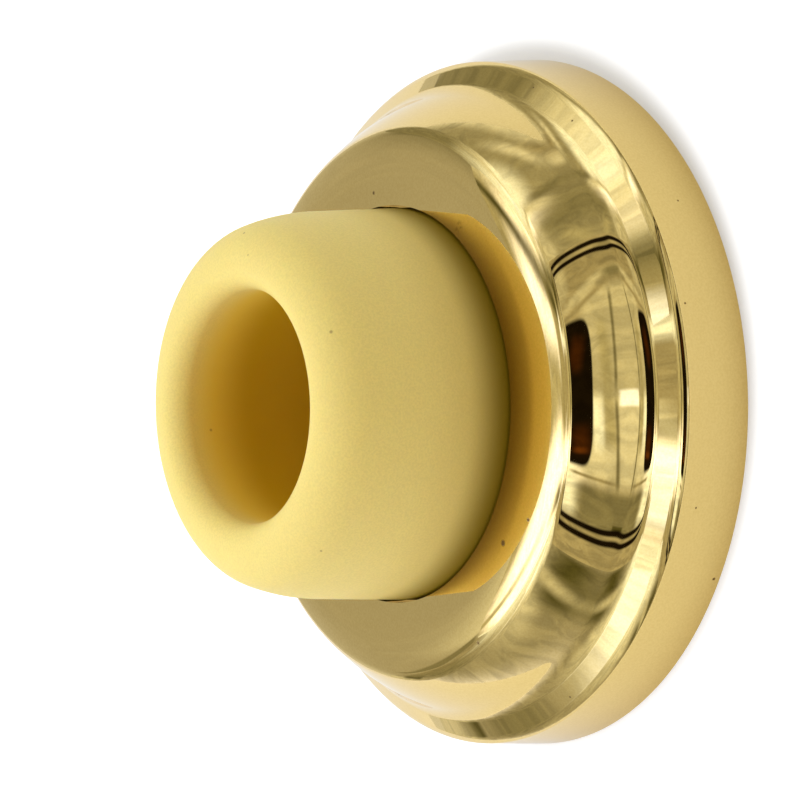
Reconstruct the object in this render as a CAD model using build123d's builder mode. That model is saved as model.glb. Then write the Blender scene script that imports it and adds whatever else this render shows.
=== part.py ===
from build123d import *
import os
from math import cos, radians, sin, tan

os.makedirs("parts", exist_ok=True)

# Wall door stop: a turned brass rose, a rubber bumper seated in its face, and the washer
# and wood screw that hold both. Millimetres and degrees. The wall is the plane Y = 0,
# the stop stands out from it along -Y, and +Z is up. Slopes are measured from the wall.

# Rose, outside, in order from the wall to the face
rose_d = 60.0  # diameter where it meets the wall
side_h = 5.7  # height of the drafted side
side_draft = 4.0  # lean of the side
edge_r = 0.6  # crisp top edge of the side
edge_slope = 52.0  # where the edge runs into the shoulder
shoulder_r = 2.6
ledge_slope = 35.5  # straight ledge between the shoulder and the cove
ledge_l = 1.5  # along its slope
cove_foot_r = 1.9  # the cove is tight at its foot and opens out above
cove_foot_slope = 47.0
cove_r = 5.6
cove_slope = 63.8  # where the cove runs into the flare, the steepest place
flare_r = 21.5  # long convex sweep
flare_slope = 50.5  # where the flare runs into the crown
crown_r = 3.0  # rounded edge of the flat face

# Rose, inside
seat_depth = 2.5  # pocket in the face that locates the bumper
web_t = 2.5  # metal between the pocket and the cored back
rim_w = 3.5  # land that bears on the wall
skirt_h = 4.0  # upright part of the cored wall, before it leans in
core_draft = 2.0
core_inset = 1.0  # the core's ceiling stops this far inside the flat face's edge
core_fillet = 1.5
boss_d = 13.0
boss_shy = 0.2  # the boss stays this far off the wall, so that the rim bears

# Bumper
projection = 30.0  # wall to nose
bumper_d = 33.45  # at the rose's face
barrel_draft = 2.8
swell_r = 17.9  # soft curve between barrel and nose
swell_lean = 19.3  # lean of the skin where the swell runs into the nose
nose_r = 4.0
lip_r = 1.85  # rounding into the cup
cup_draft = 3.0
cup_corner_r = 2.0
cup_floor_t = 2.5
foot_chamfer = 0.6
seat_clearance = 0.15

# Washer and screw
washer_t = 1.2
washer_clearance = 0.25
washer_chamfer = 0.2
screw_d = 4.8  # over the thread
screw_l = 40.0  # under the head to the point
shank_d = 3.6  # plain part under the head
thread_l = 24.5  # with the point
thread_run_out = 0.8
point_l = 6.0
head_d = 9.2
head_h = 3.0
head_rim_h = 0.9  # upright edge of the pan head, under its dome
recess_w = 4.6  # span of the cross recess
recess_t = 1.0  # width of each of its slots
recess_depth = 2.0
recess_taper = 8.0
screw_clearance = 0.25

# Sections are drawn with X as the radius and Y as the height above the wall
section = Plane(origin=(0, 0, 0), x_dir=(1, 0, 0), z_dir=(0, 0, -1))


def above_wall(height):
    """Plane parallel to the wall, facing away from it."""
    return Plane(origin=(0, -height, 0), x_dir=(1, 0, 0), z_dir=(0, -1, 0))


bore_r = screw_d / 2 + screw_clearance

with BuildPart() as rose:
    with BuildSketch(section):
        with BuildLine():
            back = Line((0, 0), (rose_d / 2, 0))
            side = Line(back @ 1, (rose_d / 2 - side_h * tan(radians(side_draft)), side_h))
            edge = JernArc(side @ 1, side % 1, edge_r, 90 - side_draft - edge_slope)
            shoulder = JernArc(edge @ 1, edge % 1, shoulder_r, edge_slope - ledge_slope)
            ledge = Line(shoulder @ 1, shoulder @ 1 + (shoulder % 1) * ledge_l)
            cove_foot = JernArc(ledge @ 1, ledge % 1, cove_foot_r, ledge_slope - cove_foot_slope)
            cove = JernArc(cove_foot @ 1, cove_foot % 1, cove_r, cove_foot_slope - cove_slope)
            flare = JernArc(cove @ 1, cove % 1, flare_r, cove_slope - flare_slope)
            crown = JernArc(flare @ 1, flare % 1, crown_r, flare_slope)
            face_h = (crown @ 1).Y
            face_r = (crown @ 1).X
            Polyline(crown @ 1, (0, face_h), (0, 0))
        make_face()
    revolve(axis=Axis.Y)

    # The pocket's wall follows the bumper's foot
    seat_h = face_h - seat_depth
    seat_r = bumper_d / 2 + seat_depth * tan(radians(barrel_draft)) + seat_clearance
    with Locations(above_wall(face_h)):
        CounterBoreHole(bore_r, seat_r, seat_depth)

    # Cored back, as a ring round the boss
    ceiling_h = seat_h - web_t
    core_r = rose_d / 2 - rim_w
    with BuildSketch(section) as core:
        with BuildLine():
            Polyline(
                (boss_d / 2, 0),
                (core_r, 0),
                (core_r - skirt_h * tan(radians(core_draft)), skirt_h),
                (face_r - core_inset, ceiling_h),
                (boss_d / 2, ceiling_h),
                close=True,
            )
        make_face()
        fillet(core.vertices().group_by(Axis.Y)[-1], core_fillet)
    revolve(axis=Axis.Y, mode=Mode.SUBTRACT)

    with BuildSketch(above_wall(0)):
        Circle(boss_d / 2)
    extrude(amount=boss_shy, mode=Mode.SUBTRACT)

cup_floor_h = seat_h + cup_floor_t

with BuildPart() as bumper:
    # The crest's radius leaves room outside it for the nose, the swell and the barrel
    swell_foot_h = projection - nose_r * (1 - sin(radians(swell_lean)))
    swell_foot_h -= swell_r * (sin(radians(swell_lean)) - sin(radians(barrel_draft)))
    crest_r = bumper_d / 2 - (swell_foot_h - face_h) * tan(radians(barrel_draft))
    crest_r -= swell_r * (cos(radians(barrel_draft)) - cos(radians(swell_lean)))
    crest_r -= nose_r * cos(radians(swell_lean))
    foot_r = seat_r - seat_clearance
    with BuildSketch(section) as outline:
        with BuildLine():
            nose = JernArc((crest_r, projection), (1, 0), nose_r, swell_lean - 90)
            swell = JernArc(nose @ 1, nose % 1, swell_r, barrel_draft - swell_lean)
            lip = JernArc((crest_r, projection), (-1, 0), lip_r, 90 - cup_draft)
            cup_foot_r = (lip @ 1).X - ((lip @ 1).Y - cup_floor_h) * tan(radians(cup_draft))
            cup_foot = (cup_foot_r, cup_floor_h)
            Polyline(
                swell @ 1,
                (foot_r, seat_h),
                (bore_r, seat_h),
                (bore_r, cup_floor_h),
                cup_foot,
                lip @ 1,
            )
        make_face()
        fillet(outline.vertices().sort_by_distance(cup_foot)[0], cup_corner_r)
        chamfer(outline.vertices().sort_by_distance((foot_r, seat_h))[0], foot_chamfer)
    revolve(axis=Axis.Y)

washer_r = cup_foot_r - cup_corner_r - washer_clearance

with BuildPart() as washer:
    with BuildSketch(above_wall(cup_floor_h)):
        Circle(washer_r)
        Circle(bore_r, mode=Mode.SUBTRACT)
    extrude(amount=washer_t)
    rim = washer.edges().group_by(Axis.Y)[0].sort_by(SortBy.RADIUS)[-1]
    chamfer(rim, washer_chamfer)

head_h0 = cup_floor_h + washer_t

with BuildPart() as screw:
    with BuildSketch(section):
        with BuildLine():
            crest = (0, head_h0 + head_h)
            tip = (0, head_h0 - screw_l)
            dome = TangentArc(crest, (head_d / 2, head_h0 + head_rim_h), tangent=(1, 0))
            thread_h = tip[1] + thread_l
            Polyline(
                dome @ 1,
                (head_d / 2, head_h0),
                (shank_d / 2, head_h0),
                (shank_d / 2, thread_h + thread_run_out),
                (screw_d / 2, thread_h),
                (screw_d / 2, tip[1] + point_l),
                tip,
                crest,
            )
        make_face()
    revolve(axis=Axis.Y)
    with BuildSketch(above_wall(head_h0 + head_h)):
        Rectangle(recess_w, recess_t)
        Rectangle(recess_t, recess_w)
    extrude(amount=-recess_depth, taper=recess_taper, mode=Mode.SUBTRACT)

pieces = {"rose": rose, "bumper": bumper, "washer": washer, "screw": screw}
for name, piece in pieces.items():
    piece.part.label = name
    export_step(piece.part, f"parts/{name}.step")

print("face height", round(face_h, 2), "flat face radius", round(face_r, 2))
print("seat radius", round(seat_r, 2), "cup floor", round(cup_floor_h, 2), "washer radius", round(washer_r, 2))
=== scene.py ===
import bmesh
import bpy
from math import atan2, cos, hypot, pi, radians, sin, tan
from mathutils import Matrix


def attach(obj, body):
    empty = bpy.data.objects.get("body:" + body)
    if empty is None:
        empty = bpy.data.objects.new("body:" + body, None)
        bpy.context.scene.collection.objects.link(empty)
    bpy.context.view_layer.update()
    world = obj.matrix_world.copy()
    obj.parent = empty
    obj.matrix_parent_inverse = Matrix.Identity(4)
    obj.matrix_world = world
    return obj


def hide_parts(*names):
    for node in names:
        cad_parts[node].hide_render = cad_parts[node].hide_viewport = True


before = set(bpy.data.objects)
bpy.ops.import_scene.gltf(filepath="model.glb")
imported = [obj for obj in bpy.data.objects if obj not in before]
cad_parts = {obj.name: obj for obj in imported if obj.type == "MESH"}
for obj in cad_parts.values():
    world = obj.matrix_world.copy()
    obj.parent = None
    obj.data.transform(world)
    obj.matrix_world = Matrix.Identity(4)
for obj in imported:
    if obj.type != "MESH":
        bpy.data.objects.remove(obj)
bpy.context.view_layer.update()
print("frame loaded:", sorted(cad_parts))

mm = 0.001


class Sock:
    # wraps one output socket, so that maths on it reads as an expression
    def __init__(self, graph, link):
        self.graph = graph
        self.link = link

    def maths(self, operation, *others):
        return self.graph.add("ShaderNodeMath", {"operation": operation}, [self, *others])

    def __add__(self, other):
        return self.maths("ADD", other)

    def __sub__(self, other):
        return self.maths("SUBTRACT", other)

    def __rsub__(self, other):
        return self.graph.add("ShaderNodeMath", {"operation": "SUBTRACT"}, [other, self])

    def __mul__(self, other):
        return self.maths("MULTIPLY", other)

    __radd__ = __add__
    __rmul__ = __mul__


class Graph:
    # builds the nodes of one material, one world or one modifier
    def __init__(self, owner):
        if hasattr(owner, "node_tree"):
            owner.use_nodes = True
            owner = owner.node_tree
        self.tree = owner
        self.tree.nodes.clear()

    def add(self, kind, settings=None, inputs=None, output=0):
        node = self.tree.nodes.new(kind)
        for name, value in (settings or {}).items():
            if name == "stops":
                for index, (place, colour) in enumerate(value):
                    if index > 1:
                        node.color_ramp.elements.new(place)
                    node.color_ramp.elements[index].position = place
                    node.color_ramp.elements[index].color = colour
            else:
                setattr(node, name, value)
        pairs = inputs.items() if isinstance(inputs, dict) else enumerate(inputs or [])
        for key, value in pairs:
            if isinstance(value, Sock):
                self.tree.links.new(value.link, node.inputs[key])
            elif value is not None:
                node.inputs[key].default_value = value
        return Sock(self, node.outputs[output]) if node.outputs else None

    def objectCoords(self):
        return self.add("ShaderNodeTexCoord", output="Object")

    def blend(self, amount, first, second):
        settings = {"data_type": "RGBA", "clamp_factor": True}
        return self.add("ShaderNodeMix", settings, {0: amount, 6: first, 7: second}, 2)

    def soften(self, value, low, high, fromValue=0.0, toValue=1.0):
        settings = {"interpolation_type": "SMOOTHSTEP"}
        return self.add("ShaderNodeMapRange", settings, [value, low, high, fromValue, toValue])

    def split(self, vector):
        node = self.add("ShaderNodeSeparateXYZ", {}, [vector]).link.node
        return [Sock(self, output) for output in node.outputs]

    def length(self, vector):
        return self.add("ShaderNodeVectorMath", {"operation": "LENGTH"}, [vector], 1)

    def scaled(self, vector, factors):
        return self.add("ShaderNodeVectorMath", {"operation": "MULTIPLY"}, [vector, factors])

    def noise(self, coords, scale, detail=2.0):
        return self.add("ShaderNodeTexNoise", {}, {"Vector": coords, "Scale": scale, "Detail": detail})

    def mottle(self, coords, grain, least=0.0, most=1.0):
        # noise between two values; a grain is its scale, its detail and the levels it is spread between
        scale, detail, low, high = grain
        return self.soften(self.noise(coords, scale, detail), low, high, least, most)

    def pitted(self, coords, pits):
        # tiny pits: the scale and detail of their noise, their strength and their depth in mm
        scale, detail, strength, depth = pits
        inputs = {"Strength": strength, "Distance": depth * mm, "Height": self.noise(coords, scale, detail)}
        return self.add("ShaderNodeBump", {}, inputs)

    def wavyNormal(self, coords, scale, amount):
        # leans the surface normal very slightly this way and that
        wave = self.add("ShaderNodeTexNoise", {}, {"Vector": coords, "Scale": scale, "Detail": 1.0}, 1)
        lean = self.add("ShaderNodeVectorMath", {"operation": "SUBTRACT"}, [wave, (0.5, 0.5, 0.5)])
        normal = self.add("ShaderNodeNewGeometry", output="Normal")
        settings = {"operation": "MULTIPLY_ADD"}
        leaned = self.add("ShaderNodeVectorMath", settings, [lean, (amount, amount, amount), normal])
        return self.add("ShaderNodeVectorMath", {"operation": "NORMALIZE"}, [leaned])

    def spots(self, coords, places, core=0.5, rim=1.4):
        # 1 inside small spots, which fade from core to rim; places are x, y, z and radius in mm
        mask = None
        for x, y, z, size in places:
            centre = (x * mm, y * mm, z * mm)
            away = self.add("ShaderNodeVectorMath", {"operation": "DISTANCE"}, [coords, centre], 1)
            spot = self.soften(away, size * core * mm, size * rim * mm, 1.0, 0.0)
            mask = spot if mask is None else mask.maths("MAXIMUM", spot)
        return mask

    def metal(self, colour, rough, normal):
        inputs = {"Base Color": colour, "Metallic": 1.0, "Roughness": rough, "Normal": normal}
        return self.add("ShaderNodeBsdfPrincipled", {}, inputs)

    def close(self, shader, kind="ShaderNodeOutputMaterial"):
        self.add(kind, {}, {"Surface": shader})


def rgb(red, green, blue):
    return (red, green, blue, 1.0)


# metres, degrees and millimetres of lens; they follow the photograph's own viewing angle
view = {
    "place": (0.24434, -0.18768, 0.00248), "turn": (89.5895, 0.575, 54.4722),
    "lens": 157.5, "sensor": 36.0, "near": 0.01, "far": 20.0,
}
cameraData = bpy.data.cameras.new("camera")
cameraData.lens = view["lens"]
cameraData.sensor_width = view["sensor"]
cameraData.clip_start = view["near"]
cameraData.clip_end = view["far"]
camera = bpy.data.objects.new("camera", cameraData)
camera.location = view["place"]
camera.rotation_euler = [radians(angle) for angle in view["turn"]]
bpy.context.scene.collection.objects.link(camera)
bpy.context.scene.camera = camera
bpy.context.scene.view_settings.view_transform = "Standard"


def walk(start, heading, steps, finest=1.0):
    # points (radius, height) along straight runs and tangent arcs; angles in degrees
    points = [start]
    x, y = start
    angle = radians(heading)
    for kind, *sizes in steps:
        if kind == "run":
            x += sizes[0] * cos(angle)
            y += sizes[0] * sin(angle)
            points.append((x, y))
            continue
        radius, turn = sizes[0], radians(sizes[1])
        side = 1 if turn > 0 else -1
        count = max(4, int(abs(sizes[1]) / finest))
        cx, cy = x - side * radius * sin(angle), y + side * radius * cos(angle)
        for step in range(1, count + 1):
            now = angle + turn * step / count
            points.append((cx + side * radius * sin(now), cy - side * radius * cos(now)))
        x, y = points[-1]
        angle += turn
    return points


def supported(outline, gap=0.04, longRun=1.0):
    # a point just inside both ends of each long run keeps its shading flat
    points = []
    for here, there in zip(outline, outline[1:] + outline[:1]):
        points.append(here)
        length = hypot(there[0] - here[0], there[1] - here[1])
        if length > longRun:
            for share in (gap / length, 1 - gap / length):
                points.append(tuple(start + (end - start) * share for start, end in zip(here, there)))
    return points


def turned(name, outline, around=288, sharp=28.0):
    # revolves a closed outline, in millimetres of radius and height, round the screw's axis
    bm = bmesh.new()
    rings = []
    for radius, height in supported(outline):
        if radius == 0.0:
            rings.append([bm.verts.new((0, -height * mm, 0))])
            continue
        rings.append([
            bm.verts.new((radius * cos(angle) * mm, -height * mm, radius * sin(angle) * mm))
            for angle in (2 * pi * step / around for step in range(around))
        ])
    for one, two in zip(rings, rings[1:] + rings[:1]):
        for step in range(around):
            after = (step + 1) % around
            corners = [one[step % len(one)], one[after % len(one)]]
            corners += [two[after % len(two)], two[step % len(two)]]
            corners = list(dict.fromkeys(corners))
            if len(corners) > 2:
                bm.faces.new(corners)
    bmesh.ops.recalc_face_normals(bm, faces=bm.faces)
    return addPiece(name, bm, sharp)


def addPiece(name, bm, sharp=28.0):
    mesh = bpy.data.meshes.new(name)
    bm.to_mesh(mesh)
    bm.free()
    mesh.shade_smooth()
    mesh.set_sharp_from_angle(angle=radians(sharp))
    piece = bpy.data.objects.new(name, mesh)
    bpy.context.scene.collection.objects.link(piece)
    return piece


def onSurface(outline, marks):
    # x, y, z and radius of small marks, given as turn round the axis in degrees, millimetres along the
    # outline (less than nothing runs along it backwards) and radius
    places = []
    for turn, along, size in marks:
        path = outline if along > 0 else [outline[0]] + outline[:0:-1]
        left = abs(along)
        for here, there in zip(path, path[1:]):
            length = hypot(there[0] - here[0], there[1] - here[1])
            if left <= length:
                radius, height = [start + (end - start) * left / length for start, end in zip(here, there)]
                places.append((radius * cos(radians(turn)), -height, radius * sin(radians(turn)), size))
                break
            left -= length
    return places


def seat(piece, material, node):
    piece.data.materials.clear()
    piece.data.materials.append(material)
    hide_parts(node)
    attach(piece, "root")


# millimetres, and pairs of an arc's radius and turn. The face falls away softly at its rim, and the
# cove turns over gently into the flare.
rose = {
    "radius": 30.0, "sideHeight": 5.7, "sideDraft": 4.0,
    "edge": (0.6, 34.0), "shoulder": (2.6, 16.5), "ledge": 1.5524,
    "coveFoot": (1.9, -11.5), "cove": (5.2, -14.2), "flare": (20.8461, 11.8),
    "turnover": [
        ("arc", 9.0, -1.2), ("arc", 20.0, -0.5), ("run", 0.15), ("arc", 70.0, 0.2), ("arc", 35.0, 0.4),
    ],
    "crown": (1.761, 33.35), "rimEase": (11.9, 17.15),
    "seatRadius": 17.0, "seatDepth": 2.5, "web": 2.5, "rim": 3.5, "skirt": 4.0, "coreDraft": 2.0,
    "coreTop": 20.484, "coreFillet": 1.5, "bossRadius": 6.5, "bossShy": 0.2, "bore": 2.65,
}


def roseOutline(sizes):
    draft = radians(sizes["sideDraft"])
    sideLength = sizes["sideHeight"] / cos(draft)
    outside = walk((sizes["radius"], 0.0), 90 + sizes["sideDraft"], [
        ("run", sideLength), ("arc", *sizes["edge"]), ("arc", *sizes["shoulder"]), ("run", sizes["ledge"]),
        ("arc", *sizes["coveFoot"]), ("arc", *sizes["cove"]), *sizes["turnover"], ("arc", *sizes["flare"]),
        ("arc", *sizes["crown"]), ("arc", *sizes["rimEase"]),
    ])
    faceRadius, faceHeight = outside[-1]
    floor = faceHeight - sizes["seatDepth"]
    ceiling = floor - sizes["web"]
    coreRadius = sizes["radius"] - sizes["rim"]
    skirtTop = (coreRadius - sizes["skirt"] * tan(radians(sizes["coreDraft"])), sizes["skirt"])
    shoulder = (sizes["coreTop"], ceiling)
    slope = atan2(skirtTop[0] - shoulder[0], ceiling - sizes["skirt"])  # lean of the core's wall
    fillet = sizes["coreFillet"]
    reach = fillet * tan((pi / 2 - slope) / 2)
    start = (shoulder[0] - reach, ceiling)
    inside = [(sizes["seatRadius"], faceHeight), (sizes["seatRadius"], floor), (sizes["bore"], floor)]
    inside += [(sizes["bore"], sizes["bossShy"]), (sizes["bossRadius"], sizes["bossShy"])]
    inside += walk((sizes["bossRadius"], ceiling - fillet), 90, [("arc", fillet, -90.0)])
    inside += walk(start, 0, [("arc", fillet, -(90 - slope * 180 / pi))])
    inside += [skirtTop, (coreRadius, 0.0)]
    return outside + inside, faceRadius, faceHeight, floor


roseLine, faceRadius, faceHeight, seatFloor = roseOutline(rose)
rosePiece = turned("turned_rose", roseLine)
print("rose turned: face at", round(faceHeight, 3), "radius", round(faceRadius, 3))


bumper = {
    "projection": 30.0, "radius": 16.725, "draft": 2.8, "swell": 17.9, "lean": 19.3, "nose": 4.0,
    "lip": 1.85, "cupDraft": 3.0, "cupCorner": 2.0, "floor": 2.5, "chamfer": 0.6, "bore": 2.65,
}


def bumperOutline(sizes, face, foot):
    draft, lean = radians(sizes["draft"]), radians(sizes["lean"])
    swellFoot = sizes["projection"] - sizes["nose"] * (1 - sin(lean))
    swellFoot -= sizes["swell"] * (sin(lean) - sin(draft))
    crest = sizes["radius"] - (swellFoot - face) * tan(draft)
    crest -= sizes["swell"] * (cos(draft) - cos(lean)) + sizes["nose"] * cos(lean)
    outside = walk((crest, sizes["projection"]), 0, [
        ("arc", sizes["nose"], sizes["lean"] - 90), ("arc", sizes["swell"], sizes["draft"] - sizes["lean"]),
    ])
    footRadius = sizes["radius"] + (face - foot) * tan(draft)
    cupFloor = foot + sizes["floor"]
    lip = walk((crest, sizes["projection"]), 180, [("arc", sizes["lip"], 90 - sizes["cupDraft"])])
    mouth = lip[-1]
    cupFoot = mouth[0] - (mouth[1] - cupFloor) * tan(radians(sizes["cupDraft"]))
    turn = 90 - sizes["cupDraft"]
    reach = sizes["cupCorner"] * tan(radians(turn) / 2)
    corner = walk((cupFoot - reach, cupFloor), 0, [("arc", sizes["cupCorner"], turn)])
    chamfer = sizes["chamfer"]
    bottom = [(footRadius, foot + chamfer), (footRadius - chamfer, foot)]
    bottom += [(sizes["bore"], foot), (sizes["bore"], cupFloor)]
    return outside + bottom + corner + lip[:0:-1], cupFloor, cupFoot


bumperLine, cupFloor, cupFoot = bumperOutline(bumper, faceHeight, seatFloor)
bumperPiece = turned("rubber_bumper", bumperLine)
print("bumper turned: cup floor at", round(cupFloor, 3))

washer = {"thick": 1.2, "clearance": 0.25, "bore": 2.65, "chamfer": 0.2, "around": 96}


def washerOutline(sizes, floor, flatRadius):
    radius = flatRadius - sizes["clearance"]
    top = floor + sizes["thick"]
    rim = [(radius, floor), (radius, top - sizes["chamfer"]), (radius - sizes["chamfer"], top)]
    return [(sizes["bore"], floor), *rim, (sizes["bore"], top)]


washerLine = washerOutline(washer, cupFloor, cupFoot - bumper["cupCorner"])
washerPiece = turned("washer_plain", washerLine, around=washer["around"])


screw = {
    "under": cupFloor + washer["thick"], "length": 40.0,
    "headRadius": 4.6, "rimHeight": 0.9, "headHeight": 3.0,
    "shank": 1.8, "core": 1.65, "plain": 0.6, "neck": 1.0, "tipShy": 0.05,
    "threadRadius": 2.4, "pitch": 2.1, "ridge": 0.56, "threadLength": 24.4, "point": 6.0,
    "threadSteps": 420, "ridgeSides": 3, "tipShare": 0.03,
    "slot": (2.3, 0.5), "slotDepth": 2.0, "slotTaper": 8.0, "slotLift": 1.0, "around": 64, "sharp": 30.0,
}


def screwOutline(sizes):
    rise = sizes["headHeight"] - sizes["rimHeight"]
    domeRadius = (sizes["headRadius"] ** 2 + rise ** 2) / (2 * rise)
    domeTurn = 2 * atan2(rise, sizes["headRadius"]) * 180 / pi
    under = sizes["under"]
    tip = under - sizes["length"]
    outline = walk((0.0, under + sizes["headHeight"]), 0, [("arc", domeRadius, -domeTurn)], finest=6.0)
    outline += [(sizes["headRadius"], under), (sizes["shank"], under), (sizes["shank"], sizes["plain"])]
    outline += [(sizes["core"], sizes["plain"] - sizes["neck"]), (sizes["core"], tip + sizes["point"])]
    return outline + [(0.0, tip + sizes["tipShy"])]


def crossCutter(sizes):
    # a tapered cross, wider above the head than at its floor
    bm = bmesh.new()
    rings = []
    for above in (sizes["slotLift"], -sizes["slotDepth"]):
        ease = above * tan(radians(sizes["slotTaper"]))
        reach, half = sizes["slot"][0] + ease, sizes["slot"][1] + ease
        arm = [(reach, half), (half, half), (half, reach), (-half, reach), (-half, half), (-reach, half)]
        corners = arm + [(-x, -z) for x, z in arm]
        y = -(sizes["under"] + sizes["headHeight"] + above) * mm
        rings.append([bm.verts.new((x * mm, y, z * mm)) for x, z in corners])
    for here in range(len(corners)):
        there = (here + 1) % len(corners)
        bm.faces.new([rings[0][here], rings[0][there], rings[1][there], rings[1][here]])
    for ring in rings:
        bm.faces.new(ring)
    bmesh.ops.recalc_face_normals(bm, faces=bm.faces)
    return addPiece("cross_cutter", bm)


def settled(holder):
    # the object's mesh with its modifiers worked in
    evaluated = holder.evaluated_get(bpy.context.evaluated_depsgraph_get())
    mesh = bpy.data.meshes.new_from_object(evaluated)
    bpy.data.objects.remove(holder)
    return mesh


def threadMesh(sizes, material):
    # one ridge swept along a helix that narrows with the point
    tree = bpy.data.node_groups.new("woodThread", "GeometryNodeTree")
    sockets = {}
    for name, kind, value in [
        ("Turns", "NodeSocketFloat", sizes["threadLength"] / sizes["pitch"]),
        ("Thread radius", "NodeSocketFloat", (sizes["threadRadius"] - sizes["ridge"]) * mm),
        ("Ridge", "NodeSocketFloat", sizes["ridge"] * mm),
        ("Length", "NodeSocketFloat", sizes["threadLength"] * mm),
        ("Point", "NodeSocketFloat", sizes["point"] * mm),
        ("Steps", "NodeSocketInt", sizes["threadSteps"]),
    ]:
        sockets[name] = (tree.interface.new_socket(name, in_out="INPUT", socket_type=kind), value)
    tree.interface.new_socket("Geometry", in_out="OUTPUT", socket_type="NodeSocketGeometry")
    graph = Graph(tree)
    outputs = graph.add("NodeGroupInput").link.node.outputs
    given = {output.name: Sock(graph, output) for output in outputs if output.name}
    share = graph.add("GeometryNodeSplineParameter")
    along = share * given["Length"]
    pointStart = given["Length"] - given["Point"]
    taper = graph.add("ShaderNodeMapRange", {}, [along, pointStart, given["Length"], 1.0, sizes["tipShare"]])
    angle = share * given["Turns"] * (2 * pi)
    reach = taper * given["Thread radius"]
    across, up = reach * angle.maths("COSINE"), reach * angle.maths("SINE")
    spot = graph.add("ShaderNodeCombineXYZ", {}, [across, up, along])
    line = graph.add("GeometryNodeCurvePrimitiveLine")
    line = graph.add("GeometryNodeResampleCurve", {}, {"Curve": line, "Count": given["Steps"]})
    helix = graph.add("GeometryNodeSetPosition", {}, {"Geometry": line, "Position": spot})
    helix = graph.add("GeometryNodeSetCurveNormal", {"mode": "Z_UP"}, [helix])
    ridge = graph.add("GeometryNodeCurvePrimitiveCircle", {}, {
        "Resolution": sizes["ridgeSides"], "Radius": given["Ridge"],
    })
    swept = graph.add("GeometryNodeCurveToMesh", {}, {
        "Curve": helix, "Profile Curve": ridge, "Scale": taper, "Fill Caps": True,
    })
    swept = graph.add("GeometryNodeTransform", {}, {"Geometry": swept, "Rotation": (-pi / 2, 0.0, 0.0)})
    real = graph.add("GeometryNodeRealizeInstances", {}, [swept])
    finished = graph.add("GeometryNodeSetMaterial", {}, {"Geometry": real, "Material": material})
    graph.add("NodeGroupOutput", {}, [finished])
    holder = addPiece("thread_holder", bmesh.new())
    modifier = holder.modifiers.new("thread", "NODES")
    modifier.node_group = tree
    for socket, value in sockets.values():
        modifier[socket.identifier] = value
    return settled(holder)


def screwPiece(sizes, material):
    body = turned("screw_body", screwOutline(sizes), around=sizes["around"], sharp=sizes["sharp"])
    cutter = crossCutter(sizes)
    recess = body.modifiers.new("recess", "BOOLEAN")
    recess.object = cutter
    recess.operation = "DIFFERENCE"
    recess.solver = "EXACT"
    bodyMesh = settled(body)
    bpy.data.objects.remove(cutter)
    bm = bmesh.new()
    for mesh in (bodyMesh, threadMesh(sizes, material)):
        bm.from_mesh(mesh)
    bmesh.ops.recalc_face_normals(bm, faces=bm.faces)
    for face in bm.faces:
        face.material_index = 0
    return addPiece("wood_screw", bm, sizes["sharp"])


# a grain is scale, detail and the two levels it is spread between; marks are as onSurface takes them
brassLook = {
    "colours": ((0.835, 0.605, 0.20), (0.885, 0.655, 0.23)), "speckle": (5200.0, 3.0, 0.3, 0.7),
    "wave": (130.0, 0.005), "polish": (700.0, 4.0, 0.25, 0.75), "roughness": (0.008, 0.03),
    "dirt": (0.10, 0.045, 0.01), "dirtMost": 0.85, "dirtRough": 0.4,
    "marks": [
        (68.1, 7.15, 0.09), (55.5, 7.42, 0.10), (33.6, 2.86, 0.09), (15.7, 5.34, 0.10), (96.7, 21.09, 0.16),
        (-35.8, 19.91, 0.26), (-26.3, 18.15, 0.17), (-59.8, 16.37, 0.16), (-16.6, 4.34, 0.09),
        (-28.9, 0.60, 0.14), (-58.8, 7.12, 0.09),
    ],
    "smear": (0.30, 0.20, 0.06), "smearMost": 0.5, "smearGrain": (2600.0, 2.0, 0.45, 0.6),
    "smears": [(55.6, 21.54, 0.55)],
}


def brassMaterial(look, outline):
    material = bpy.data.materials.new("polishedBrass")
    graph = Graph(material)
    coords = graph.objectCoords()
    low, high = look["colours"]
    colour = graph.blend(graph.mottle(coords, look["speckle"]), rgb(*low), rgb(*high))
    marks = graph.spots(coords, onSurface(outline, look["marks"]))
    colour = graph.blend(marks * look["dirtMost"], colour, rgb(*look["dirt"]))
    smear = graph.spots(coords, onSurface(outline, look["smears"]))
    smear = smear * graph.mottle(coords, look["smearGrain"])
    colour = graph.blend(smear * look["smearMost"], colour, rgb(*look["smear"]))
    rough = graph.mottle(coords, look["polish"], *look["roughness"]) + marks * look["dirtRough"]
    graph.close(graph.metal(colour, rough, graph.wavyNormal(coords, *look["wave"])))
    return material


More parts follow.
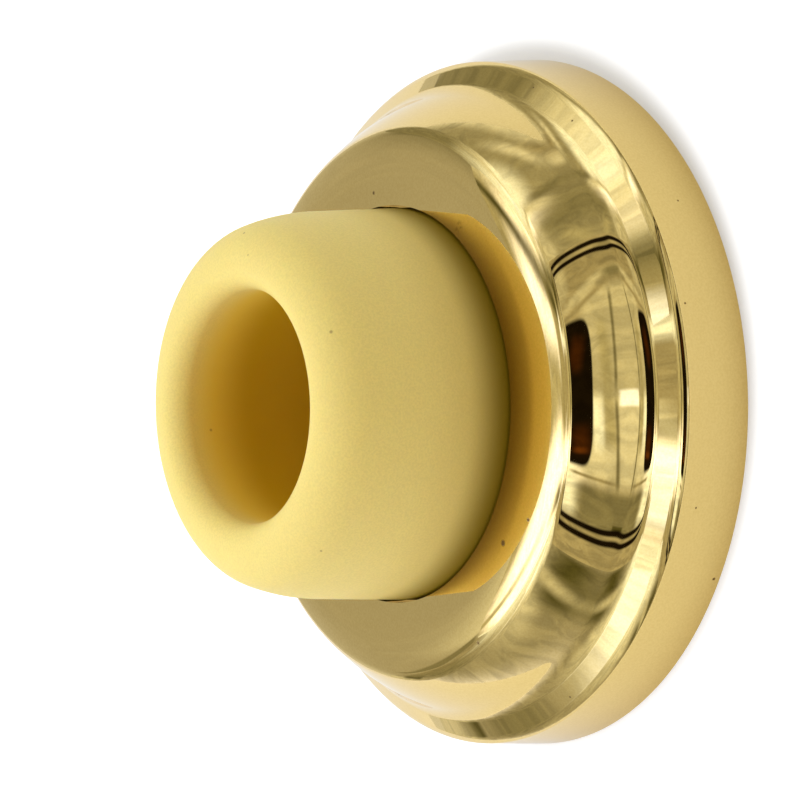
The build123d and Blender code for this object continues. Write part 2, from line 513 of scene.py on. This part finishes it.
# a band is its colour, the two heights it comes in between, and the most of it that shows; the bands below
# are painted shade
rubberLook = {
    "skin": (0.95, 0.745, 0.225), "speckle": (5600.0, 3.0, 0.3, 0.7), "speckleRange": (0.955, 1.04),
    "cloud": (0.86, 0.66, 0.20), "cloudGrain": (220.0, 3.0, 0.35, 0.75), "cloudMost": 0.10,
    "cupEdge": (9.7, 11.3), "skinEdge": (12.5, 13.5),
    # painted shade: the skin darkens over its lowest part towards the brass, and a near-black band paints
    # the contact shadow where it meets the brass face
    "footShadeBands": [((0.64, 0.48, 0.12), (23.0, 14.0), 0.75), ((0.25, 0.165, 0.0), (18.4, 14.29), 1.0)],
    # painted shade: the cup's inside turns darker and warmer with depth, standing in for the shade and
    # bounced light deep in it
    "cupShadeBands": [((0.98, 0.685, 0.085), (29.1, 25.8), 1.0), ((0.64, 0.39, 0.005), (27.6, 22.3), 1.0)],
    "dirt": (0.28, 0.13, 0.03), "dirtMost": 0.55,
    "marks": [
        (91.2, 3.18, 0.12), (81.5, 1.09, 0.08), (25.1, 2.75, 0.14), (-167.5, -4.58, 0.12),
        (-51.3, 4.21, 0.10),
    ],
    "pits": (3800.0, 3.0, 0.35, 0.02), "roughness": 0.6, "specular": 0.3,
    "inner": 0.25, "innerReach": (1.0, 0.6, 0.2), "innerScale": 1.2,  # light that goes into the rubber
}


def rubberMaterial(look, outline):
    material = bpy.data.materials.new("creamRubber")
    graph = Graph(material)
    coords = graph.objectCoords()
    y = graph.split(coords)[1]
    fromAxis = graph.length(graph.scaled(coords, (1.0, 0.0, 1.0)))
    inside = graph.soften(fromAxis, *[radius * mm for radius in look["cupEdge"]], 1.0, 0.0)
    outside = graph.soften(fromAxis, *[radius * mm for radius in look["skinEdge"]])
    low, high = [rgb(*[min(1.0, part * share) for part in look["skin"]]) for share in look["speckleRange"]]
    colour = graph.blend(graph.mottle(coords, look["speckle"]), low, high)
    cloud = graph.mottle(coords, look["cloudGrain"])
    colour = graph.blend(cloud * look["cloudMost"], colour, rgb(*look["cloud"]))
    # the bands paint shade: darker towards the brass face on the skin, and darker and warmer deeper in the
    # cup
    for where, bands in ((outside, look["footShadeBands"]), (inside, look["cupShadeBands"])):
        for paint, (start, end), most in bands:
            share = graph.soften(y, -start * mm, -end * mm) * where * most
            colour = graph.blend(share, colour, rgb(*paint))
    marks = graph.spots(coords, onSurface(outline, look["marks"]))
    colour = graph.blend(marks * look["dirtMost"], colour, rgb(*look["dirt"]))
    shader = graph.add("ShaderNodeBsdfPrincipled", {}, {
        "Base Color": colour, "Roughness": look["roughness"], "Normal": graph.pitted(coords, look["pits"]),
        "Specular IOR Level": look["specular"], "Subsurface Weight": look["inner"],
        "Subsurface Radius": look["innerReach"], "Subsurface Scale": look["innerScale"] * mm,
    })
    graph.close(shader)
    return material


steelLook = {
    "colours": ((0.60, 0.60, 0.57), (0.70, 0.69, 0.62)), "bloom": (520.0, 4.0, 0.3, 0.7),
    "grain": (1400.0, 4.0, 0.3, 0.7), "roughness": (0.22, 0.36), "pits": (2400.0, 3.0, 0.4, 0.01),
}


def steelMaterial(look):
    material = bpy.data.materials.new("zincSteel")
    graph = Graph(material)
    coords = graph.objectCoords()
    low, high = look["colours"]
    colour = graph.blend(graph.mottle(coords, look["bloom"]), rgb(*low), rgb(*high))
    rough = graph.mottle(coords, look["grain"], *look["roughness"])
    graph.close(graph.metal(colour, rough, graph.pitted(coords, look["pits"])))
    return material


brass = brassMaterial(brassLook, roseLine)
rubber = rubberMaterial(rubberLook, bumperLine)
steel = steelMaterial(steelLook)
seat(rosePiece, brass, "rose")
seat(bumperPiece, rubber, "bumper")
seat(washerPiece, steel, "washer")
seat(screwPiece(screw, steel), steel, "screw")
print("materials made, screw threaded")

# A box tent of white cloth stands round the stop. The polished brass mirrors its lamps, seams and
# the camera's slit; every rough surface sees each wall of it as plain, even light.
tent = {"front": 160.0, "back": -332.0, "half": 234.0, "depth": 400.0, "level": 0.85}
crumple = {"squash": (1.0, 0.45, 1.0), "scale": 34.0, "detail": 3.0, "distortion": 1.6, "spread": (0.3, 0.7)}
endless = 1000.0  # metres


def quad(name, corners, material):
    mesh = bpy.data.meshes.new(name)
    places = [tuple(value * mm for value in corner) for corner in corners]
    mesh.from_pydata(places, [], [tuple(range(len(places)))])
    mesh.materials.append(material)
    panel = bpy.data.objects.new(name, mesh)
    bpy.context.scene.collection.objects.link(panel)
    panel.visible_camera = False


def patch(graph, coords, colour, normalAxis, shape):
    # lays one soft patch over a wall; across the wall's own thickness it is endless
    kind, centre, half, turn, blur, tone = shape
    paint = rgb(*tones[tone])
    first, second = [axis for axis in range(3) if axis != normalAxis]
    place = [0.0, 0.0, 0.0]
    place[first], place[second] = centre[0] * mm, centre[1] * mm
    size = [endless, endless, endless]
    size[first], size[second] = half[0] * mm, half[1] * mm
    turns = [0.0, 0.0, 0.0]
    turns[normalAxis] = radians(turn)
    local = graph.add("ShaderNodeMapping", {"vector_type": "TEXTURE"}, {
        "Vector": coords, "Location": place, "Rotation": turns, "Scale": size,
    })
    if kind == "oval":
        mask = graph.soften(graph.length(local), 1 - blur[0], 1 + blur[0], 1.0, 0.0)
        return graph.blend(mask, colour, paint)
    parts = graph.split(local)
    across, along = parts[first].maths("ABSOLUTE"), parts[second].maths("ABSOLUTE")
    if kind == "box":
        mask = graph.soften(across, 1 - blur[0], 1 + blur[0], 1.0, 0.0)
        mask = mask * graph.soften(along, 1 - blur[1], 1 + blur[1], 1.0, 0.0)
        return graph.blend(mask, colour, paint)
    edge, squareness = blur
    summed = across.maths("POWER", squareness) + along.maths("POWER", squareness)
    far = summed.maths("POWER", 1 / squareness)
    if kind == "pill":
        mask = graph.soften(far, 1 - edge, 1 + edge, 1.0, 0.0)
    else:
        mask = graph.soften((far - 1.0).maths("ABSOLUTE"), edge * 0.5, edge * 1.5, 1.0, 0.0)
    return graph.blend(mask, colour, paint)


def wallOfTent(wall):
    material = bpy.data.materials.new(wall["name"] + "Cloth")
    graph = Graph(material)
    coords = graph.objectCoords()
    colour = rgb(*wall["ground"])
    for shape in wall["shapes"]:
        colour = patch(graph, coords, colour, wall["normal"], shape)
    noise = graph.add("ShaderNodeTexNoise", {}, {
        "Vector": graph.scaled(coords, crumple["squash"]), "Scale": crumple["scale"],
        "Detail": crumple["detail"], "Distortion": crumple["distortion"],
    })
    folds = wall["folds"]
    colour = graph.scaled(colour, graph.soften(noise, *crumple["spread"], 1 - folds, 1 + folds))
    mirrored = Sock(graph, graph.add("ShaderNodeLightPath").link.node.outputs["Is Glossy Ray"])
    even, cloth = [
        graph.add("ShaderNodeEmission", {}, {"Color": paint, "Strength": tent["level"]})
        for paint in (rgb(*wall["plain"]), colour)
    ]
    graph.close(graph.add("ShaderNodeMixShader", {}, [mirrored, even, cloth]))
    quad(wall["name"], wall["corners"], material)


# tones of the cloth: what the polished brass mirrors
tones = {
    "lamp": (3.1, 3.3, 4.8), "glare": (2.4, 2.6, 4.0), "bright": (1.75, 2.0, 3.2),
    "shine": (1.45, 1.65, 2.2), "pale": (1.28, 1.36, 1.55), "lit": (1.0, 1.05, 1.15),
    "cloth": (0.8, 0.82, 0.82), "fold": (0.65, 0.65, 0.55), "dim": (0.45, 0.43, 0.36),
    "dusk": (0.31, 0.31, 0.25), "dark": (0.12, 0.12, 0.05),
    "amber": (0.16, 0.05, 0.009), "umber": (0.07, 0.023, 0.005), "black": (0.012, 0.008, 0.004),
}
# each patch: kind, centre and half sizes in mm, turn in degrees, softness of its two edges, tone. A pill is
# a filled rounded box and a frame is its outline, and their last pair is softness and squareness.
ceilingShapes = [
    ("box", (-60, 150), (175, 30), -5, (0.2, 0.75), "dark"),
    ("box", (-155, 75), (110, 30), 10, (0.45, 0.9), "glare"),
    ("box", (-85, -150), (210, 125), 15, (0.27, 0.27), "lamp"),
    ("box", (-45, -210), (490, 5), -5, (0.05, 1.0), "shine"),
    ("box", (145, 125), (35, 30), -65, (0.75, 0.4), "bright"),
    ("box", (100, -155), (30, 125), 100, (0.75, 0.95), "dusk"),
    ("box", (160, -145), (60, 11), -70, (0.35, 0.55), "bright"),
    ("box", (-235, -40), (165, 30), -25, (0.5, 0.8), "fold"),
    ("box", (80, 220), (250, 30), -25, (0.2, 0.95), "dusk"),
    ("box", (-150, 275), (120, 100), -20, (0.5, 0.6), "lamp"),
    ("box", (-330, -200), (150, 10), -25, (1.0, 0.75), "fold"),
    ("box", (160, -90), (50, 45), 0, (0.8, 0.9), "glare"),
    ("box", (-295, 270), (160, 50), 25, (1.0, 0.8), "lit"),
    ("box", (-280, 160), (125, 14), 20, (1.0, 1.0), "dark"),
]
backShapes = [
    ("box", (90, -65), (115, 75), 0, (0.8, 0.35), "cloth"),
    ("box", (-475, -175), (140, 80), 25, (0.9, 0.3), "lit"),
    ("box", (-415, 20), (30, 13), 65, (0.7, 0.1), "dim"),
    ("box", (-365, 385), (285, 135), -15, (0.35, 0.75), "dark"),
    ("box", (155, -415), (250, 60), -50, (1.0, 0.9), "pale"),
    ("box", (105, 290), (95, 245), -35, (1.0, 1.0), "cloth"),
    ("box", (-285, -215), (110, 12), 5, (0.15, 0.4), "dusk"),
]
upShapes = [
    ("box", (-280, -120), (145, 120), 50, (0.55, 0.15), "dusk"),
    ("box", (-15, -275), (115, 175), -20, (0.65, 0.05), "pale"),
    ("oval", (15, -155), (60, 85), 40, (0.33, 0.36), "shine"),
    ("box", (75, -210), (25, 80), 0, (0.95, 0.95), "glare"),
    ("box", (100, -80), (25, 65), 10, (1.0, 0.4), "dusk"),
    ("box", (120, -225), (50, 75), -20, (0.55, 0.7), "cloth"),
    ("box", (-45, -255), (45, 40), 0, (0.65, 0.5), "bright"),
    ("box", (50, -160), (9, 80), -10, (1.0, 0.4), "lit"),
    ("box", (-25, -35), (35, 9), 10, (0.85, 1.0), "lit"),
    ("box", (-125, 20), (155, 25), -5, (0.05, 0.55), "lit"),
    ("box", (200, -425), (405, 115), 45, (0.3, 1.0), "dark"),
    ("box", (50, -60), (7, 40), 0, (0.9, 0.75), "dusk"),
    ("box", (-10, -10), (19, 12), 20, (0.9, 1.0), "dim"),
    ("box", (-440, 5), (195, 25), 0, (0.9, 0.4), "lit"),
    ("box", (145, -80), (25, 11), 75, (1.0, 1.0), "fold"),
    ("box", (-175, -395), (85, 190), -40, (1.0, 0.4), "shine"),
]
downShapes = [
    ("box", (-55, -280), (210, 70), 55, (0.1, 1.0), "lit"),
    ("box", (-80, -395), (270, 115), 20, (0.15, 0.85), "shine"),
    ("box", (-260, -65), (30, 200), -5, (0.2, 1.0), "dark"),
    ("box", (-235, -165), (50, 65), 35, (0.5, 0.55), "dusk"),
    ("box", (85, -75), (25, 55), -5, (0.85, 1.0), "dark"),
    ("box", (135, -100), (25, 60), 5, (0.5, 1.0), "dark"),
    ("box", (75, -290), (165, 5), -45, (0.55, 1.0), "bright"),
    ("box", (95, -105), (9, 60), 5, (1.0, 1.0), "cloth"),
    ("box", (-130, -195), (40, 3), -50, (0.1, 0.3), "dim"),
    ("box", (-140, 65), (115, 50), -5, (1.0, 1.0), "glare"),
    ("box", (-320, -25), (95, 50), 30, (0.4, 0.5), "cloth"),
    ("box", (-175, -110), (50, 65), -45, (0.6, 0.95), "dusk"),
    ("box", (-400, -460), (60, 290), -25, (0.5, 0.8), "dim"),
    ("box", (50, -280), (65, 30), -30, (0.1, 0.15), "bright"),
    ("box", (90, -325), (5, 150), 25, (0.25, 0.7), "shine"),
    ("box", (80, -250), (12, 20), 45, (0.2, 0.9), "lit"),
    ("box", (100, -280), (50, 25), -70, (0.6, 1.0), "shine"),
]
frontShapes = [
    ("box", (-330, 200), (110, 36), -7, (0.8, 0.65), "dark"),
    ("box", (-215, 25), (60, 120), 0, (0.3, 0.25), "fold"),
    ("box", (-326, -85), (233, 29), 9, (0.6, 0.95), "lamp"),
    ("box", (-341, 102), (143, 15), -10, (0.2, 0.85), "shine"),
    ("box", (-189, 122), (74, 20), 49, (1.0, 1.0), "cloth"),
    ("box", (-357, -39), (11, 40), 15, (1.0, 0.1), "lit"),
    ("box", (-393, -105), (80, 40), -5, (0.6, 0.6), "glare"),
    ("box", (-90, 160), (90, 36), -8, (0.4, 0.5), "dim"),
    ("box", (-152, 160), (14, 32), 10, (0.9, 0.7), "cloth"),
    ("box", (-40, 22), (68, 106), 0, (0.2, 0.12), "cloth"),
    ("box", (-102, 129), (48, 7), 25, (0.5, 0.9), "cloth"),
    ("box", (-98, 114), (42, 4), 24, (0.6, 0.9), "dim"),
    ("box", (-48, 147), (12, 8), 10, (0.8, 0.8), "dusk"),
    ("box", (-74, 46), (8, 36), 4, (0.8, 0.6), "fold"),
    ("box", (-66, -32), (7, 42), 8, (0.8, 0.6), "fold"),
    ("box", (-84, -58), (34, 17), 0, (0.6, 0.5), "lit"),
    ("box", (-86, -20), (8, 24), 4, (0.5, 0.5), "shine"),
    ("box", (-47, -37), (8, 40), 4, (0.4, 0.2), "lit"),
    ("box", (-46, 4), (10, 7), 2, (0.3, 0.3), "bright"),
    ("box", (-150, -103), (30, 36), 0, (0.6, 0.4), "shine"),
    ("box", (-68, -117), (52, 29), -3, (0.35, 0.3), "dusk"),
    ("box", (-59, 65), (2, 52), -2, (0.9, 0.2), "dusk"),
    ("box", (-57, -42), (2, 44), 5, (0.9, 0.2), "dusk"),
    ("box", (-95, -78), (38, 2), -2, (0.3, 0.9), "dim"),
    ("box", (-47, -137), (4, 4), 0, (0.6, 0.6), "dark"),
    ("frame", (-105, 25), (92, 195), 0, (0.034, 5.0), "black"),
    ("frame", (-105, 24), (86, 174), 0, (0.031, 5.0), "black"),
    ("pill", (-124, 12), (30, 80), 0, (0.04, 4.5), "black"),
    ("box", (-121, 52), (11, 17), -15, (0.8, 0.6), "umber"),
    ("box", (-114, -38), (14, 12), 10, (0.8, 0.8), "umber"),
    ("box", (-115, -50), (11, 3), 6, (0.9, 0.9), "amber"),
]
front, back, half, depth = tent["front"], tent["back"], tent["half"], tent["depth"]
# plain is the even light that rough surfaces see, ground is the cloth between the patches
tentWalls = [{
    "name": "tent_ceiling", "normal": 1, "shapes": ceilingShapes,
    "corners": [(back, -depth, -half), (front, -depth, -half), (front, -depth, half), (back, -depth, half)],
    "plain": (2.02, 2.12, 2.2), "folds": 0.12, "ground": (0.56, 0.55, 0.46),
}, {
    "name": "tent_front", "normal": 0, "shapes": frontShapes,
    "corners": [(front, 0, -half), (front, 0, half), (front, -depth, half), (front, -depth, -half)],
    "plain": (0.47, 0.40, 0.29), "folds": 0.2, "ground": (0.54, 0.52, 0.45),
}, {
    "name": "tent_back", "normal": 0, "shapes": backShapes,
    "corners": [(back, 0, -half), (back, 0, half), (back, -depth, half), (back, -depth, -half)],
    "plain": (1.35, 1.34, 1.32), "folds": 0.03, "ground": (0.55, 0.55, 0.55),
}, {
    "name": "tent_upper", "normal": 2, "shapes": upShapes,
    "corners": [(back, 0, half), (front, 0, half), (front, -depth, half), (back, -depth, half)],
    "plain": (0.68, 0.70, 0.72), "folds": 0.16, "ground": (0.46, 0.46, 0.41),
}, {
    "name": "tent_lower", "normal": 2, "shapes": downShapes,
    "corners": [(back, 0, -half), (front, 0, -half), (front, -depth, -half), (back, -depth, -half)],
    "plain": (1.22, 1.24, 1.42), "folds": 0.16, "ground": (0.48, 0.48, 0.46),
}]
for wall in tentWalls:
    wallOfTent(wall)


# The tent's white back sheet has a hole that the rose covers. Round the rose it has a narrow painted contact
# shade, stronger above it:
# the camera-only glow that lifts the sheet to white is turned down there. It lies a little off the rose's
# back, so that the two are never in one plane.
sheet = {
    "lift": 0.02, "hole": 29.5, "half": 600.0, "around": 96, "colour": (0.91, 0.915, 0.955),
    "shadeCentre": (-0.3, 0.0, 0.8), "shadeRadii": (29.7, 32.1), "glow": (0.04, 0.45),
}


def sheetMaterial(sizes):
    # seen from the back the sheet is clear
    material = bpy.data.materials.new("whiteWall")
    graph = Graph(material)
    seen = graph.add("ShaderNodeLightPath", output="Is Camera Ray")
    diffuse = graph.add("ShaderNodeBsdfDiffuse", {}, {"Color": rgb(*sizes["colour"])})
    centre = [value * mm for value in sizes["shadeCentre"]]
    coords = graph.objectCoords()
    fromShade = graph.add("ShaderNodeVectorMath", {"operation": "DISTANCE"}, [coords, centre], 1)
    # painted shade: the glow is weak close to the rose and above it, so the sheet shows darker there
    clearance = graph.soften(fromShade, *[radius * mm for radius in sizes["shadeRadii"]], *sizes["glow"])
    glow = graph.add("ShaderNodeEmission", {}, {"Color": rgb(1, 1, 1), "Strength": seen * clearance})
    lit = graph.add("ShaderNodeAddShader", {}, [diffuse, glow])
    clear = graph.add("ShaderNodeBsdfTransparent")
    behind = graph.add("ShaderNodeNewGeometry", output="Backfacing")
    graph.close(graph.add("ShaderNodeMixShader", {}, [behind, lit, clear]))
    return material


def backSheet(sizes):
    # a square round a circle, its faces turned to the camera
    bm = bmesh.new()
    level = -sizes["lift"] * mm
    inner, outer = [], []
    for step in range(sizes["around"]):
        angle = 2 * pi * step / sizes["around"]
        hole, half = sizes["hole"] * mm, sizes["half"] * mm / max(abs(cos(angle)), abs(sin(angle)))
        inner.append(bm.verts.new((hole * cos(angle), level, hole * sin(angle))))
        outer.append(bm.verts.new((half * cos(angle), level, half * sin(angle))))
    for step in range(sizes["around"]):
        after = (step + 1) % sizes["around"]
        bm.faces.new([inner[step], inner[after], outer[after], outer[step]])
    bm.normal_update()
    for face in bm.faces:
        if face.normal.y > 0:
            face.normal_flip()
    mesh = bpy.data.meshes.new("back_sheet")
    bm.to_mesh(mesh)
    bm.free()
    mesh.materials.append(sheetMaterial(sizes))
    panel = bpy.data.objects.new("back_sheet", mesh)
    bpy.context.scene.collection.objects.link(panel)


backSheet(sheet)

# what the camera sees past the sheet, and the light that reaches the stop from behind it
room = {"seen": (1.0, 1.0, 1.0), "light": (0.85, 0.85, 0.85)}
world = bpy.data.worlds.new("studio")
bpy.context.scene.world = world
graph = Graph(world)
seen = graph.add("ShaderNodeLightPath", output="Is Camera Ray")
colour = graph.blend(seen, rgb(*room["light"]), rgb(*room["seen"]))
background = graph.add("ShaderNodeBackground", {}, {"Color": colour, "Strength": 1.0})
graph.close(background, "ShaderNodeOutputWorld")
print("tent lit")
